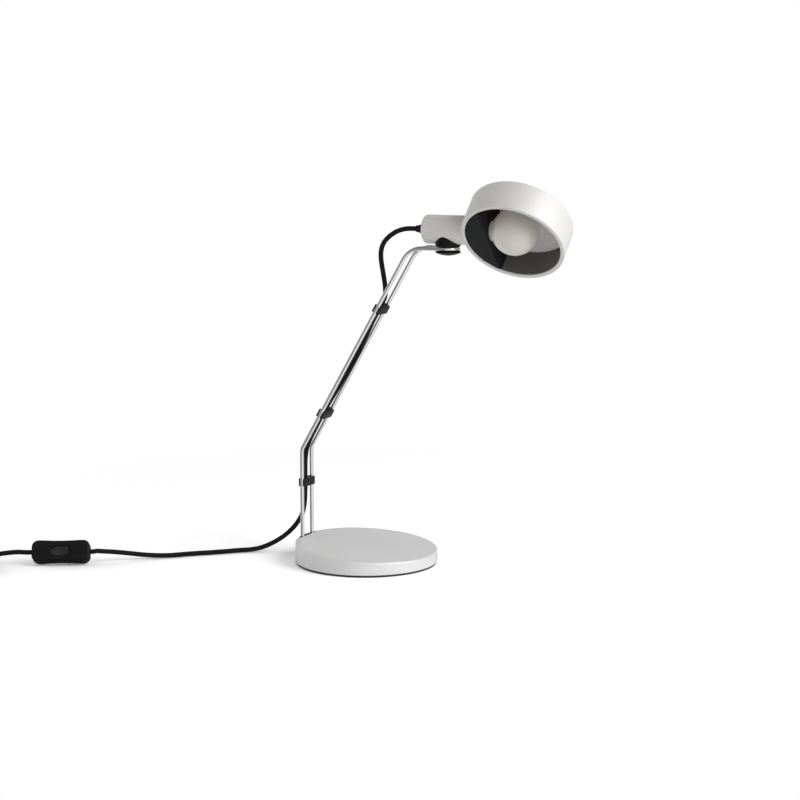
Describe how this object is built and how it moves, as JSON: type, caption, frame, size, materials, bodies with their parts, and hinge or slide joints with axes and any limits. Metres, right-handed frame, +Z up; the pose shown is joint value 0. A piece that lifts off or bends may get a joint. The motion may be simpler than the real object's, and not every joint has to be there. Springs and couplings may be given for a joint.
{
  "type": "dome shade desk lamp",
  "caption": "Desk lamp with a weighted disc base, a bent double-rod stem, a tilting handle with a shallow drum shade and globe bulb, and a switched textile cord.",
  "frame": {"origin": "centre of the base's underside, where it stands on the table", "axes": "+Z up, +X from the stem's foot towards the head, +Y to the left seen from the stem"},
  "size_m": [0.7467, 0.3649, 0.43],
  "materials": {
    "painted_metal": "fine-textured light grey powder coat",
    "painted_aluminium": "fine-textured light grey powder coat on spun aluminium",
    "pad_rubber": "matt",
    "black_plastic": "fine-grained matt",
    "steel": "plain zinc plated",
    "chrome_rod": "bright drawn rod",
    "aluminium": "plain turned",
    "brass": "plain",
    "lead_sleeve": "smooth wire sleeves",
    "opal_glass": "satin opal",
    "cap_metal": "bright",
    "textile_cord": "braided",
    "plug_rubber": "moulded matt",
    "nickel": "nickel plated"
  },
  "bodies": {
    "stand": {"base_weight": "painted_metal", "foot_pad": "pad_rubber", "stem_block": "black_plastic", "foot_plate": "steel", "plate_screws": "steel", "hairpin_frame": "chrome_rod", "clip_upper": "black_plastic", "clip_middle": "black_plastic", "clip_lower": "black_plastic", "pivot_bush": "black_plastic", "cord_upper": "textile_cord", "cord_lead": "textile_cord", "cord_tail": "textile_cord", "cord_coil": "textile_cord", "cord_end": "textile_cord", "coil_tie": "black_plastic", "switch_lower": "black_plastic", "switch_upper": "black_plastic", "rocker_pin": "steel", "switch_contacts": "brass", "switch_screws": "steel", "plug_body": "plug_rubber", "plug_pins": "nickel"},
    "swivel": {"pivot_saddle": "black_plastic", "clamp_stud": "steel", "clamp_block": "aluminium", "washer_upper": "pad_rubber", "washer_lower": "pad_rubber"},
    "knob": {"clamp_knob": "black_plastic", "knob_insert": "brass"},
    "head": {"handle_tube": "painted_metal", "cord_gland": "black_plastic", "gland_nut": "brass", "holder_leads": "lead_sleeve", "holder_adaptor": "aluminium", "holder_body": "black_plastic", "holder_terminals": "brass", "thread_shell": "brass", "holder_contact": "brass", "holder_nut": "black_plastic", "shade_shell": "painted_aluminium", "holder_cover": "black_plastic", "side_liner": "black_plastic", "bulb_glass": "opal_glass", "bulb_cap": "cap_metal", "bulb_tip": "brass"},
    "rocker": {"switch_rocker": "black_plastic"}
  },
  "joints": [
    {"name": "head_swivel", "type": "hinge", "parent": "stand", "child": "swivel", "pos_m": [0.09995, 0, 0.35539], "axis": [0, 0, 1], "range_deg": [-50, 50], "deforming": ["cord_upper"]},
    {"name": "knob_turn", "type": "hinge", "parent": "swivel", "child": "knob", "pos_m": [0.09995, 0, 0.35539], "axis": [0, 0, 1], "range_deg": [-90, 90]},
    {"name": "shade_tilt", "type": "hinge", "parent": "swivel", "child": "head", "pos_m": [0.09995, 0, 0.37569], "axis": [1, 0, 0], "range_deg": [-45, 45]},
    {"name": "switch_rock", "type": "hinge", "parent": "stand", "child": "rocker", "pos_m": [-0.29736, -0.16789, 0.01587], "axis": [-0.2165, 0.3812, 0.8988], "range_deg": [0, 14]}
  ]
}
